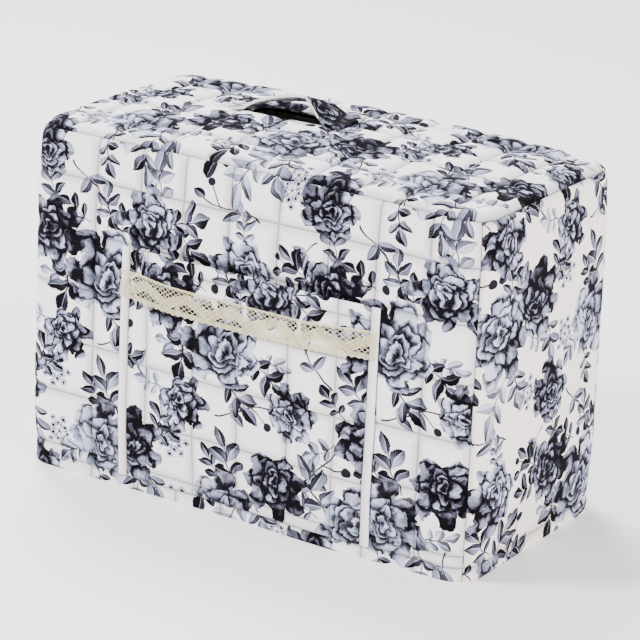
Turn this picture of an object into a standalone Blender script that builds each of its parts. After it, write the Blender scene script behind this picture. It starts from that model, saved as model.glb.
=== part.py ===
"""Quilted cloth cover for a sewing machine, hollow and open below, standing on its hem.

Metres, +Z up. The origin is on the floor under the middle of the cover's box: X runs along
its length, and the pocketed front faces -Y.
"""
import math

import bpy
import bmesh
from mathutils import Vector

# Driving sizes of the cover
LENGTH = 0.450
DEPTH = 0.223
HEIGHT = 0.306
CORNER_RADIUS = 0.025
TOP_EDGE_RADIUS = 0.009
WALL_TAPER = 0.0024
SEAM_GAP = 0.0003
SEAM_STRIP = 0.0010
TOP_CORNER_EASE = 0.0016

# Where the crossing of the walls' centre lines lies: the pocket stands out at the front
CENTRE_LINES = (-0.0005, 0.0042, 0.0)

# Cloth: the wadded panels and the plain end panels
QUILTED_THICKNESS = 0.0025
PLAIN_THICKNESS = 0.0020
QUILT_LIFT = 0.0018
QUILT_SQUARE = 0.048
PUFF_SHOULDER = 0.27
HEM_DEPTH = 0.012
HEM_ROLL = 0.0025
HEM_LIFT = 0.0006
HEM_END_RUN = 0.004
CLOSEST_LINES = 0.0028

# Stitched lines, as the cloth happened to be cut: across a panel, and up it or over it
FRONT_COLUMNS = (-0.1515, -0.106, -0.062, -0.0155, 0.0325, 0.082, 0.127, 0.1755)
BACK_COLUMNS = (-0.168, -0.121, -0.072, -0.025, 0.0235, 0.071, 0.118, 0.166)
WALL_ROWS = (0.022, 0.0725, 0.121, 0.170, 0.220, 0.267)
TOP_COLUMNS = (-0.187, -0.141, -0.093, -0.045, 0.003, 0.055, 0.100, 0.142, 0.183)
TOP_ROWS = (-0.064, -0.016, 0.031, 0.079)

# Unevenness of the standing cloth
TOP_CROWN = 0.0045
LONG_EDGE_BOW = 0.0020
SHORT_EDGE_BOW = 0.0010
BACK_EDGE_RISE = 0.0028
WALL_SWELL = 0.0025
SWELL_RUN = 0.060
WAVE_LENGTH = 0.150
WAVE_START = 1.3
WAVE_UP = 1.05
WAVE_HEIGHT = 0.0007
HEM_BOW = 0.0050
HEM_BOW_AT = 0.105
HEM_BOW_REACH = 0.065
HEM_BOW_HEIGHT = 0.110

# Patch pocket on the front, sewn in at its sides and foot
POCKET_LEFT = -0.121
POCKET_RIGHT = 0.134
POCKET_FOOT = HEM_DEPTH + SEAM_GAP
POCKET_MOUTH = 0.218
POCKET_THICKNESS = 0.0022
POCKET_GAPE = 0.0062
POCKET_GAPE_FROM = 0.050
POCKET_GAPE_RUN = 0.138
POCKET_GAPE_STEEPNESS = 2.2
POCKET_LIFT = 0.0015
POCKET_SIDE_TURN = 0.010
POCKET_MOUTH_HEM = 0.012
POCKET_COLUMNS = (-0.0925, -0.0435, 0.001, 0.052, 0.097)
POCKET_ROWS = (0.0215, 0.066, 0.117, 0.169)
POCKET_EDGE_REACH = 0.0012
POCKET_MOUTH_CROWN = 0.0020
POCKET_TURN_LIFT = 0.0009
POCKET_TURN_STEP = 0.0015

# Crochet lace under the pocket's mouth
LACE_TOP = 0.1985
LACE_HEIGHT = 0.0245
LACE_SAG = 0.003
LACE_THICKNESS = 0.0012
LACE_SCALLOP = 0.0085
LACE_SCALLOP_DEPTH = 0.0009
LACE_STANDOFF = POCKET_LIFT + 0.0003

# Handle strap over the slot in the top: x, then the heights of its front and its back edge
STRAP_STATIONS = (
    (-0.112, 0.0000, 0.0000),
    (-0.098, 0.0000, 0.0000),
    (-0.089, 0.0020, 0.0008),
    (-0.083, 0.0062, 0.0024),
    (-0.076, 0.0098, 0.0037),
    (-0.067, 0.0132, 0.0050),
    (-0.056, 0.0165, 0.0062),
    (-0.044, 0.0194, 0.0073),
    (-0.034, 0.0210, 0.0079),
    (-0.027, 0.0213, 0.0080),
    (-0.022, 0.0155, 0.0068),
    (-0.016, 0.0080, 0.0042),
    (-0.010, 0.0022, 0.0014),
    (-0.004, 0.0000, 0.0000),
    (0.008, 0.0000, 0.0000),
)
STRAP_FRONT = 0.012
STRAP_WIDTH = 0.040
STRAP_THICKNESS = 0.0025
STRAP_STANDOFF = 0.0013
STRAP_ROWS = 5
SLOT_CENTRE = (-0.053, 0.026)
SLOT_SIZE = (0.070, 0.032)
SLOT_CORNER = 0.010
SLOT_CUT_DEPTH = 0.040

PRINTED_CLOTH = (0.62, 0.64, 0.72)
LACE_COLOUR = (0.86, 0.78, 0.62)
CLOTH_ROUGHNESS = 0.9
COLLECTION_NAME = "sewing_machine_cover"

HALF_TURN = math.radians(45)
COS_HALF_TURN = math.cos(HALF_TURN)
CORNER_ARC = CORNER_RADIUS - 2 * COS_HALF_TURN * SEAM_STRIP
TOP_ARC = TOP_EDGE_RADIUS - 2 * COS_HALF_TURN * SEAM_STRIP
CORNER_RUN = CORNER_ARC * HALF_TURN + SEAM_STRIP
TOP_RUN = TOP_ARC * HALF_TURN + SEAM_STRIP
WALL_STRAIGHT = HEIGHT - TOP_EDGE_RADIUS
WALL_REACH = WALL_STRAIGHT + TOP_RUN - SEAM_GAP / 2
CORNER_STEPS = 3
TOP_EDGE_STEPS = 2


class Side:
    """One upright side: its middle at floor level, and the ways along it and out of it."""

    def __init__(self, half, distance, along, bulge):
        self.flat = half - CORNER_RADIUS
        self.reach = self.flat + CORNER_RUN - SEAM_GAP / 2
        self.along = Vector(along)
        self.out = self.along.cross(Vector((0, 0, 1)))
        self.middle = self.out * distance
        self.bulge = bulge


FRONT = Side(LENGTH / 2, DEPTH / 2, (1, 0, 0), 0.0012)
RIGHT = Side(DEPTH / 2, LENGTH / 2, (0, 1, 0), 0.0040)
BACK = Side(LENGTH / 2, DEPTH / 2, (-1, 0, 0), 0.0018)
LEFT = Side(DEPTH / 2, LENGTH / 2, (0, -1, 0), 0.0030)


def clamp(value, low=0.0, high=1.0):
    return max(low, min(high, value))


def ease(value):
    """Smooth step from 0 to 1."""
    value = clamp(value)
    return value * value * (3 - 2 * value)


def half_corner(run, arc):
    """Go on past a flat by run: along an arc of 45 degrees, then straight to the seam.

    Returns the way forward, the way inward and the angle turned.
    """
    run = max(run, 0.0)
    angle = min(run / arc, HALF_TURN)
    rest = max(run - arc * HALF_TURN, 0.0) * COS_HALF_TURN
    return arc * math.sin(angle) + rest, arc * (1 - math.cos(angle)) + rest, angle


def top_rise(x, y):
    """How far the top stands above HEIGHT: bowed edges, higher at the back, and a soft crown."""
    across = 1 - (2 * x / LENGTH) ** 2
    over = 1 - (2 * y / DEPTH) ** 2
    backward = 0.5 + y / DEPTH
    edges = across * (LONG_EDGE_BOW + BACK_EDGE_RISE * backward) + SHORT_EDGE_BOW * over
    return edges + TOP_CROWN * across * over


def wall_wave(side, s, t):
    """The swell of all the walls, a side's own bulge and waves, and the front hem's bow."""
    across = 1 - clamp(abs(s) / side.flat) ** 2
    up = ease((t - HEM_DEPTH) / SWELL_RUN) * ease((HEIGHT - t) / SWELL_RUN)
    turn = 2 * math.pi / WAVE_LENGTH
    wave = math.sin(turn * s + WAVE_START) * math.cos(WAVE_UP * turn * t)
    swell = up * (WALL_SWELL + across * (side.bulge + WAVE_HEIGHT * wave))
    if side is not FRONT:
        return swell
    low = 1 - ease((t - HEM_DEPTH) / HEM_BOW_HEIGHT)
    return swell + HEM_BOW * across * low * math.exp(-((s - HEM_BOW_AT) / HEM_BOW_REACH) ** 2)


def wall_point(side, s, t, lift=0.0):
    """The point at s along a side and t up it, lifted off the cloth's outer face."""
    forward, inward, turned = half_corner(abs(s) - side.flat, CORNER_ARC)
    up, inset, rolled = half_corner(t - WALL_STRAIGHT, TOP_ARC)
    taper = WALL_TAPER * clamp((t - HEM_DEPTH) / (WALL_STRAIGHT - HEM_DEPTH))
    lift = lift + wall_wave(side, s, t)
    outward = lift * math.cos(rolled) - inset - taper
    along = math.copysign(min(abs(s), side.flat) + forward + math.sin(turned) * outward, s)
    point = side.middle + side.along * along + side.out * (math.cos(turned) * outward - inward)
    point.z = min(t, WALL_STRAIGHT) + up + lift * math.sin(rolled)
    point.z += top_rise(point.x, point.y) * (t / WALL_REACH) ** 2
    return point


def puff(position, lines):
    """How far a square stands up at a position between its stitched lines, 0 to 1."""
    for low, high in zip(lines, lines[1:]):
        if low <= position <= high:
            part = (position - low) / (high - low)
            rise = clamp(min(part, 1 - part) / PUFF_SHOULDER)
            return rise * clamp((high - low) / QUILT_SQUARE) ** 0.5
    return 0.0


def shoulder_lines(lines):
    """The stitched lines, with the two shoulders of the puff in each space between them."""
    found = []
    for low, high in zip(lines, lines[1:]):
        shoulder = PUFF_SHOULDER * (high - low)
        found += [low, low + shoulder, high - shoulder]
    return found + [lines[-1]]


def merged(fixed, loose):
    """All fixed grid lines, and the loose ones between them that don't crowd them."""
    lines = sorted(fixed)
    low, high = lines[0], lines[-1]
    for value in sorted(loose):
        if low < value < high and min(abs(value - kept) for kept in lines) > CLOSEST_LINES:
            lines.append(value)
    return sorted(lines)


def corner_lines(side):
    """Grid lines of both rounded corners of a side, out to its seams."""
    arc_run = CORNER_ARC * HALF_TURN
    runs = [side.flat + arc_run * step / CORNER_STEPS for step in range(CORNER_STEPS + 1)]
    runs.append(side.reach)
    return [-run for run in runs] + runs


def height_lines():
    """Grid lines up a side: the hem and the rounded top edge."""
    arc_run = TOP_ARC * HALF_TURN
    lines = [0.0, HEM_DEPTH - HEM_ROLL, HEM_DEPTH]
    lines += [WALL_STRAIGHT + arc_run * step / TOP_EDGE_STEPS for step in range(TOP_EDGE_STEPS + 1)]
    return lines + [WALL_REACH]


def hem_lift(side, s, t):
    """The turned-up hem, a flat double band that ends short of the seams."""
    end = clamp((side.flat + CORNER_ARC * HALF_TURN - abs(s)) / HEM_END_RUN)
    return HEM_LIFT * end * clamp((HEM_DEPTH - t) / HEM_ROLL)


def collection(name):
    made = bpy.data.collections.new(name)
    bpy.context.scene.collection.children.link(made)
    return made


def material(name, colour, roughness):
    """A plain matt cloth material."""
    made = bpy.data.materials.new(name)
    made.use_nodes = True
    shader = made.node_tree.nodes["Principled BSDF"]
    shader.inputs["Base Color"].default_value = (*colour, 1)
    shader.inputs["Roughness"].default_value = roughness
    shader.inputs["Metallic"].default_value = 0
    return made


def sheet(name, columns, rows, place, thickness, side_of_sheet=-1):
    """A cloth sheet: a grid laid on place(column, row), then given its thickness."""
    mesh = bpy.data.meshes.new(name)
    work = bmesh.new()
    x_cells = len(columns) - 1
    y_cells = len(rows) - 1
    bmesh.ops.create_grid(work, x_segments=x_cells, y_segments=y_cells, size=1)
    for vertex in work.verts:
        column = round((vertex.co.x + 1) / 2 * x_cells)
        row = round((vertex.co.y + 1) / 2 * y_cells)
        vertex.co = place(columns[column], rows[row])
    work.to_mesh(mesh)
    work.free()
    made = bpy.data.objects.new(name, mesh)
    made.location = CENTRE_LINES
    mesh.shade_smooth()
    solidify = made.modifiers.new("cloth thickness", "SOLIDIFY")
    solidify.thickness = thickness
    solidify.offset = side_of_sheet
    parts.objects.link(made)
    return made


def in_pocket(s, t):
    beside = POCKET_LEFT - POCKET_EDGE_REACH < s < POCKET_RIGHT + POCKET_EDGE_REACH
    return beside and t < POCKET_MOUTH


def quilted_wall(name, side, stitched_columns, pocketed=False):
    """A quilted side between its two seams, from its hem to the seam round the top."""
    edge = side.reach - SEAM_STRIP
    columns = (-edge, -side.flat, *stitched_columns, edge)
    rows = (HEM_DEPTH, *WALL_ROWS, WALL_STRAIGHT)

    def place(s, t):
        lift = QUILT_LIFT * min(puff(s, columns), puff(t, rows))
        if pocketed and in_pocket(s, t):
            lift = 0.0
        return wall_point(side, s, t, lift + hem_lift(side, s, t))

    loose = shoulder_lines(columns)
    if pocketed:
        loose += [POCKET_LEFT - POCKET_EDGE_REACH / 2, POCKET_RIGHT + POCKET_EDGE_REACH / 2]
    fixed = corner_lines(side) + list(stitched_columns)
    return sheet(name, merged(fixed, loose), merged(height_lines() + list(WALL_ROWS),
                 shoulder_lines(rows)), place, QUILTED_THICKNESS)


def plain_end(name, side):
    """An end panel of single cloth, with soft bulges and no quilting."""
    loose = [side.flat * step / 4 for step in range(-3, 4)]
    heights = [HEIGHT * step / 10 for step in range(1, 10)]
    columns = merged(corner_lines(side), loose)
    rows = merged(height_lines(), heights)

    def place(s, t):
        return wall_point(side, s, t, hem_lift(side, s, t))

    return sheet(name, columns, rows, place, PLAIN_THICKNESS)


# The top panel's outline at the seam, and how far in from it the top becomes flat
SEAM_INSET = half_corner(TOP_RUN, TOP_ARC)[1]
EDGE_IN = TOP_EDGE_RADIUS - SEAM_INSET - SEAM_GAP / 2
TOP_HALF_X = LENGTH / 2 - WALL_TAPER - SEAM_INSET - COS_HALF_TURN * SEAM_GAP
TOP_HALF_Y = DEPTH / 2 - WALL_TAPER - SEAM_INSET - COS_HALF_TURN * SEAM_GAP
TOP_CORNER = CORNER_RADIUS + TOP_CORNER_EASE - SEAM_INSET


def top_plan(x, y):
    """Move a point of a square-cornered plan to one whose corners are round."""
    u = abs(x) - (TOP_HALF_X - TOP_CORNER)
    v = abs(y) - (TOP_HALF_Y - TOP_CORNER)
    if u <= 0 or v <= 0:
        return x, y
    ring = max(u, v)
    angle = HALF_TURN * v / u if u >= v else 2 * HALF_TURN - HALF_TURN * u / v
    rounded_x = TOP_HALF_X - TOP_CORNER + ring * math.cos(angle)
    rounded_y = TOP_HALF_Y - TOP_CORNER + ring * math.sin(angle)
    return math.copysign(rounded_x, x), math.copysign(rounded_y, y)


def top_drop(inset):
    """How far the rounded edge lies below the top, at a distance in from the seam."""
    outside = max(EDGE_IN - inset, 0.0)
    arc_reach = TOP_ARC * COS_HALF_TURN
    if outside > arc_reach:
        return TOP_ARC * (1 - COS_HALF_TURN) + outside - arc_reach
    return TOP_ARC - math.sqrt(TOP_ARC ** 2 - outside ** 2)


def top_point(x, y, lift=0.0):
    """The point of the top's outer face over a place in its square-cornered plan."""
    inset = min(TOP_HALF_X - abs(x), TOP_HALF_Y - abs(y))
    plan_x, plan_y = top_plan(x, y)
    z = HEIGHT - top_drop(inset) + top_rise(plan_x, plan_y) + lift
    return Vector((plan_x, plan_y, z))


def quilted_top():
    """The quilted top panel, with the slot that a hand or a handle goes through."""
    arc_reach = TOP_ARC * COS_HALF_TURN
    insets = (0.0, EDGE_IN - arc_reach, EDGE_IN - arc_reach / 2, EDGE_IN)
    x_edges = [sign * (TOP_HALF_X - inset) for inset in insets for sign in (-1, 1)]
    y_edges = [sign * (TOP_HALF_Y - inset) for inset in insets for sign in (-1, 1)]
    x_stitched = (EDGE_IN - TOP_HALF_X, *TOP_COLUMNS, TOP_HALF_X - EDGE_IN)
    y_stitched = (EDGE_IN - TOP_HALF_Y, *TOP_ROWS, TOP_HALF_Y - EDGE_IN)
    strap_left, strap_right = STRAP_STATIONS[0][0], STRAP_STATIONS[-1][0]

    def place(x, y):
        lift = QUILT_LIFT * min(puff(x, x_stitched), puff(y, y_stitched))
        if strap_left <= x <= strap_right and STRAP_FRONT <= y <= STRAP_FRONT + STRAP_WIDTH:
            lift = 0.0
        return top_point(x, y, lift)

    columns = merged(x_edges + list(TOP_COLUMNS), shoulder_lines(x_stitched))
    rows = merged(y_edges + list(TOP_ROWS), shoulder_lines(y_stitched))
    top = sheet("top_panel", columns, rows, place, QUILTED_THICKNESS)
    cut = top.modifiers.new("handle slot", "BOOLEAN")
    cut.operation = "DIFFERENCE"
    cut.solver = "EXACT"
    cut.object = slot_cutter()
    return top


def slot_cutter():
    """A block with round upright corners that cuts the slot in the top."""
    mesh = bpy.data.meshes.new("slot_cutter")
    work = bmesh.new()
    bmesh.ops.create_cube(work, size=1)
    bmesh.ops.scale(work, vec=(*SLOT_SIZE, SLOT_CUT_DEPTH), verts=work.verts)
    upright = [edge for edge in work.edges
               if abs(edge.verts[0].co.z - edge.verts[1].co.z) > SLOT_CUT_DEPTH / 2]
    bmesh.ops.bevel(work, geom=upright, offset=SLOT_CORNER, segments=4, profile=0.5, affect="EDGES")
    work.to_mesh(mesh)
    work.free()
    made = bpy.data.objects.new("slot_cutter", mesh)
    made.location = Vector(CENTRE_LINES) + Vector((*SLOT_CENTRE, HEIGHT))
    made.hide_render = True
    made.display_type = "WIRE"
    cutters.objects.link(made)
    return made


def pocket_standoff(s, t):
    """How far the pocket's cloth hangs off the front: sewn down but for its mouth."""
    middle = (POCKET_LEFT + POCKET_RIGHT) / 2
    half = (POCKET_RIGHT - POCKET_LEFT) / 2 - POCKET_SIDE_TURN
    across = ease((1 - abs(s - middle) / half) * POCKET_GAPE_STEEPNESS)
    up = ease((t - POCKET_GAPE_FROM) / POCKET_GAPE_RUN)
    return SEAM_GAP + POCKET_GAPE * across * up


def pocket_outer(s, t, lift=0.0):
    """A point off the pocket's outer cloth face."""
    return wall_point(FRONT, s, t, pocket_standoff(s, t) + POCKET_THICKNESS + lift)


def patch_pocket():
    """The quilted pocket with its turned side edges and the hem of its mouth."""
    left_turn = POCKET_LEFT + POCKET_SIDE_TURN
    right_turn = POCKET_RIGHT - POCKET_SIDE_TURN
    hem_line = POCKET_MOUTH - POCKET_MOUTH_HEM
    stitched_x = (left_turn, *POCKET_COLUMNS, right_turn)
    stitched_t = (POCKET_FOOT, *POCKET_ROWS, hem_line)

    def place(s, t):
        lift = POCKET_LIFT * min(puff(s, stitched_x), puff(t, stitched_t))
        past_turn = POCKET_SIDE_TURN - min(s - POCKET_LEFT, POCKET_RIGHT - s)
        if max(past_turn, t - hem_line) > POCKET_TURN_STEP / 2:
            lift = POCKET_TURN_LIFT
        gape = pocket_standoff(s, t)
        t += POCKET_MOUTH_CROWN * (gape - SEAM_GAP) / POCKET_GAPE
        return wall_point(FRONT, s, t, gape + lift)

    fixed_x = [POCKET_LEFT, left_turn - POCKET_TURN_STEP, left_turn, *POCKET_COLUMNS]
    fixed_x += [right_turn, right_turn + POCKET_TURN_STEP, POCKET_RIGHT]
    fixed_t = [POCKET_FOOT, *POCKET_ROWS, hem_line, hem_line + POCKET_TURN_STEP, POCKET_MOUTH]
    columns = merged(fixed_x, shoulder_lines(stitched_x))
    rows = merged(fixed_t, shoulder_lines(stitched_t))
    return sheet("pocket", columns, rows, place, POCKET_THICKNESS, 1)


def lace_band():
    """The cream crochet band, sewn over the pocket just below the hem of its mouth."""
    left = POCKET_LEFT + SEAM_GAP
    width = POCKET_RIGHT - POCKET_LEFT - 2 * SEAM_GAP
    steps = 2 * round(width / LACE_SCALLOP)
    columns = [left + width * step / steps for step in range(steps + 1)]
    rows = (0.0, 1 / 3, 2 / 3, 1.0)

    def place(s, part):
        step = round((s - left) / width * steps)
        scallop = LACE_SCALLOP_DEPTH * (2 * (step % 2) - 1) * (2 * part - 1)
        sag = LACE_SAG * math.sin(math.pi * (s - left) / width)
        t = LACE_TOP - LACE_HEIGHT * (1 - part) - sag + scallop
        return pocket_outer(s, t, LACE_STANDOFF)

    return sheet("lace_trim", columns, rows, place, LACE_THICKNESS, 1)


def handle_strap():
    """The soft strap that arches over the slot, sewn flat to the top at both ends."""
    stations = {station[0]: station for station in STRAP_STATIONS}
    columns = [station[0] for station in STRAP_STATIONS]
    rows = [STRAP_FRONT + STRAP_WIDTH * step / STRAP_ROWS for step in range(STRAP_ROWS + 1)]

    def place(x, y):
        near, far = stations[x][1:]
        part = (y - STRAP_FRONT) / STRAP_WIDTH
        return top_point(x, y, STRAP_STANDOFF + near + (far - near) * part)

    return sheet("handle_strap", columns, rows, place, STRAP_THICKNESS, 1)


for old in list(bpy.data.objects):
    bpy.data.objects.remove(old, do_unlink=True)
parts = collection(COLLECTION_NAME)
cutters = collection("cutters")

quilted_wall("front_panel", FRONT, FRONT_COLUMNS, pocketed=True)
quilted_wall("back_panel", BACK, BACK_COLUMNS)
plain_end("left_end", LEFT)
plain_end("right_end", RIGHT)
quilted_top()
patch_pocket()
lace_band()
handle_strap()

for piece in parts.objects:
    colour = LACE_COLOUR if piece.name == "lace_trim" else PRINTED_CLOTH
    piece.data.materials.append(material(piece.name, colour, CLOTH_ROUGHNESS))
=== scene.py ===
"""Visual model of a quilted cloth cover for a sewing machine, printed with blue-grey roses.

Metres, +Z up, the pocketed front faces -Y, and the cover stands on its hem on the floor.
"""

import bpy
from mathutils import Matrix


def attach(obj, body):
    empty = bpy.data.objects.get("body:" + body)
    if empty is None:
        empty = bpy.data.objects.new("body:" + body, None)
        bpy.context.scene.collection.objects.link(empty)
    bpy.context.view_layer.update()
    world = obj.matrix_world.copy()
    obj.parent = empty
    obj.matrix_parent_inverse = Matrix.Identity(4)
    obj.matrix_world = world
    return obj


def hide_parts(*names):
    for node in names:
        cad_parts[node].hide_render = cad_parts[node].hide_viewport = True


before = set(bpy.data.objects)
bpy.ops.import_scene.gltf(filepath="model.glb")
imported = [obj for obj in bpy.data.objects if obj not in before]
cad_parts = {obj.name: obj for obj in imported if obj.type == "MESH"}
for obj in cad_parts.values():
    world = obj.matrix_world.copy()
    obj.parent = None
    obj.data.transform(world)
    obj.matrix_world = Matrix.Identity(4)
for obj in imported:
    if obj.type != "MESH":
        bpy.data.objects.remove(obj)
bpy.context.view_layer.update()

import math
import random

import bpy
import numpy as np
from mathutils import Matrix, Vector

bpy.ops.object.select_all(action="DESELECT")


# Front panel: printed cotton over wadding, stitched through in squares to its plain backing. It
# is one width of cloth from the middle of one front corner to the middle of the other, with a
# narrow hem turned up at the foot and a seam round the top.
LENGTH, DEPTH, HEIGHT = 0.450, 0.223, 0.306
CORNER_RADIUS = 0.025
TOP_EDGE_RADIUS = 0.009
WALL_TAPER = 0.0024
SEAM_GAP = 0.0001
SEAM_STRIP = 0.0010
CENTRE_LINES = Vector((-0.0005, 0.0042, 0.0))
HALF_TURN = math.radians(45)
COS_HALF_TURN = math.cos(HALF_TURN)
CORNER_ARC = CORNER_RADIUS - 2 * COS_HALF_TURN * SEAM_STRIP
TOP_ARC = TOP_EDGE_RADIUS - 2 * COS_HALF_TURN * SEAM_STRIP
CORNER_RUN = CORNER_ARC * HALF_TURN + SEAM_STRIP
TOP_RUN = TOP_ARC * HALF_TURN + SEAM_STRIP
WALL_STRAIGHT = HEIGHT - TOP_EDGE_RADIUS
WALL_REACH = WALL_STRAIGHT + TOP_RUN - SEAM_GAP / 2

QUILTED_THICKNESS = 0.0025
QUILT_LIFT = 0.0034
QUILT_SHOULDER = 0.014
HEM_DEPTH = 0.012
HEM_ROLL = 0.0025
HEM_LIFT = 0.0006
GRID_PITCH = 0.0038

# Stitched lines, across the front panel and up every quilted wall.
FRONT_COLUMNS = (-0.1515, -0.106, -0.062, -0.0155, 0.0325, 0.082, 0.127, 0.1755)
WALL_ROWS = (0.022, 0.0725, 0.121, 0.170, 0.220, 0.267)

TOP_CROWN = 0.0045
LONG_EDGE_BOW = 0.0020
SHORT_EDGE_BOW = 0.0010
BACK_EDGE_RISE = 0.0028
WALL_SWELL = 0.0025
SWELL_RUN = 0.06
WAVE_LENGTH = 0.150
WAVE_HEIGHT = 0.0007
WAVE_START = 1.3
WAVES_UP = 1.05
HEM_BOW = 0.0050
HEM_BOW_AT, HEM_BOW_REACH, HEM_BOW_HEIGHT = 0.105, 0.065, 0.110


class Side:
    """One upright side: its middle at floor level, and the ways along it and out of it."""

    def __init__(self, half, distance, along, bulge):
        self.flat = half - CORNER_RADIUS
        self.reach = self.flat + CORNER_RUN - SEAM_GAP / 2
        self.along = Vector(along)
        self.out = self.along.cross(Vector((0, 0, 1)))
        self.middle = self.out * distance
        self.bulge = bulge


FRONT = Side(LENGTH / 2, DEPTH / 2, (1, 0, 0), bulge=0.0012)


def clamp(value, low=0.0, high=1.0):
    return max(low, min(high, value))


def ease(value):
    value = clamp(value)
    return value * value * (3 - 2 * value)


def half_corner(run, arc):
    """Past a flat by run, round 45 degrees: the way forward, the way inward, the turn."""
    run = max(run, 0.0)
    angle = min(run / arc, HALF_TURN)
    rest = max(run - arc * HALF_TURN, 0.0) * COS_HALF_TURN
    return arc * math.sin(angle) + rest, arc * (1 - math.cos(angle)) + rest, angle


def top_rise(x, y):
    """How far the crowned top stands over its level edge."""
    across = 1 - (2 * x / LENGTH) ** 2
    over = 1 - (2 * y / DEPTH) ** 2
    backward = 0.5 + y / DEPTH
    edges = across * (LONG_EDGE_BOW + BACK_EDGE_RISE * backward) + SHORT_EDGE_BOW * over
    return edges + TOP_CROWN * across * over


def wall_wave(side, s, t):
    """How far a side swells out of flat, with slack waves in it and, in front, a bowed foot."""
    across = 1 - clamp(abs(s) / side.flat) ** 2
    up = ease((t - HEM_DEPTH) / SWELL_RUN) * ease((HEIGHT - t) / SWELL_RUN)
    wave = math.sin(2 * math.pi * s / WAVE_LENGTH + WAVE_START)
    wave *= math.cos(2 * math.pi * WAVES_UP * t / WAVE_LENGTH)
    swell = up * (WALL_SWELL + across * (side.bulge + WAVE_HEIGHT * wave))
    if side is not FRONT:
        return swell
    bow = math.exp(-((s - HEM_BOW_AT) / HEM_BOW_REACH) ** 2)
    bow *= 1 - ease((t - HEM_DEPTH) / HEM_BOW_HEIGHT)
    return swell + HEM_BOW * bow * across


def wall_point(side, s, t, lift=0.0):
    """The point at s along a side and t up it, lifted off the cloth's outer face."""
    forward, inward, turned = half_corner(abs(s) - side.flat, CORNER_ARC)
    up, inset, rolled = half_corner(t - WALL_STRAIGHT, TOP_ARC)
    taper = WALL_TAPER * clamp((t - HEM_DEPTH) / (WALL_STRAIGHT - HEM_DEPTH))
    lift = lift + wall_wave(side, s, t)
    outward = lift * math.cos(rolled) - inset - taper
    along = math.copysign(min(abs(s), side.flat) + forward + math.sin(turned) * outward, s)
    point = side.middle + side.along * along + side.out * (math.cos(turned) * outward - inward)
    point.z = min(t, WALL_STRAIGHT) + up + lift * math.sin(rolled)
    point.z += top_rise(point.x, point.y) * (t / WALL_REACH) ** 2
    return point


def spread(lines, pitch=GRID_PITCH):
    """Grid lines: an even number of equal steps between each two neighbouring stitched lines."""
    found = []
    for low, high in zip(lines, lines[1:]):
        steps = 2 * max(1, math.ceil((high - low) / pitch / 2))
        found += [low + (high - low) * step / steps for step in range(steps)]
    return found + [lines[-1]]


def nearest(position, lines):
    return min(abs(position - line) for line in lines)


def pillow(distance):
    """How full the wadding stands at a distance from a stitched line, 0 to 1."""
    return 1 - (1 - clamp(distance / QUILT_SHOULDER)) ** 3


def grid_piece(name, columns, rows, place, cloth, stitched, thickness, side_of_sheet=-1,
               plain=None, backed=True):
    """A cloth sheet: a grid laid on place(column, row), and given its thickness.

    cloth(column, row) is the place on the flat cloth before it was sewn, stitched gives the
    stitched lines across and up the piece, and plain says where on the cloth it has no print.
    """
    x_cells, y_cells = len(columns) - 1, len(rows) - 1
    bpy.ops.mesh.primitive_grid_add(x_subdivisions=x_cells, y_subdivisions=y_cells, size=2)
    piece = bpy.context.object
    piece.name = piece.data.name = name
    mesh = piece.data
    flat = np.zeros((len(mesh.vertices), 2))
    stitch = np.zeros((len(mesh.vertices), 2))
    for vertex in mesh.vertices:
        column = columns[round((vertex.co.x + 1) / 2 * x_cells)]
        row = rows[round((vertex.co.y + 1) / 2 * y_cells)]
        flat[vertex.index] = cloth(column, row)
        stitch[vertex.index] = nearest(column, stitched[0]), nearest(row, stitched[1])
        vertex.co = place(column, row) + CENTRE_LINES
    print_on(mesh, flat, stitch, plain)
    mesh.shade_smooth()
    solidify = piece.modifiers.new("cloth thickness", "SOLIDIFY")
    solidify.thickness = thickness
    solidify.offset = side_of_sheet
    solidify.material_offset = int(backed)
    solidify.material_offset_rim = int(not backed)
    return piece


def apply_all(piece):
    bpy.ops.object.select_all(action="DESELECT")
    piece.select_set(True)
    bpy.context.view_layer.objects.active = piece
    for modifier in list(piece.modifiers):
        bpy.ops.object.modifier_apply(modifier=modifier.name)
    piece.data.shade_smooth()
    piece.select_set(False)


FOLD_RADIUS = 0.0005


def soft_edges(piece):
    """Turn the cut edges of a sheet into rounded folds."""
    bevel = piece.modifiers.new("folded edges", "BEVEL")
    bevel.width = FOLD_RADIUS
    bevel.segments = 2
    bevel.limit_method = "ANGLE"
    bevel.angle_limit = math.radians(50)
    apply_all(piece)


# The rose print, a repeat of 286 by 296 mm. Each rose: its place, radius, turn and darkness.
REPEAT = np.array((0.286, 0.296))
ROSES = (
    (0.050, 0.075, 0.040, 20, 0.05), (0.104, 0.101, 0.034, 140, 0.80),
    (0.050, 0.158, 0.031, 250, 0.30), (0.196, 0.213, 0.041, 200, 0.10),
    (0.144, 0.238, 0.033, 80, 0.85), (0.240, 0.260, 0.030, 310, 0.40),
    (0.205, 0.060, 0.037, 100, 0.00), (0.253, 0.094, 0.031, 10, 0.90),
    (0.048, 0.236, 0.033, 300, 0.20), (0.160, 0.148, 0.025, 60, 0.50),
    (0.130, 0.016, 0.028, 190, 0.65), (0.268, 0.165, 0.026, 120, 0.15),
)
ROSE_ROOM = 1.14
LEAF_SPRAY, TWIG, SPRIG = 0.028, 0.036, 0.018
SPRAYS_TRIED, SPRAY_STEP, SPRAY_JITTER = 36, 40, 18
FULL_SPRAYS, LATER_SPRAY_SIZE = 9, 0.72
CLOSE_SPRAYS, CLOSE_SPRAY, FAR_SPRAY = 18, 0.45, 0.75
ROSE_OVERLAP, SPRAY_OVERLAP = 0.55, 0.4
TWIGS_TRIED, SPRIGS_TRIED = 160, 300
FLORET_SEEDS = 20
FULL_TURN = 6.28
MOTIF_ROOM = 0.001
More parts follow.
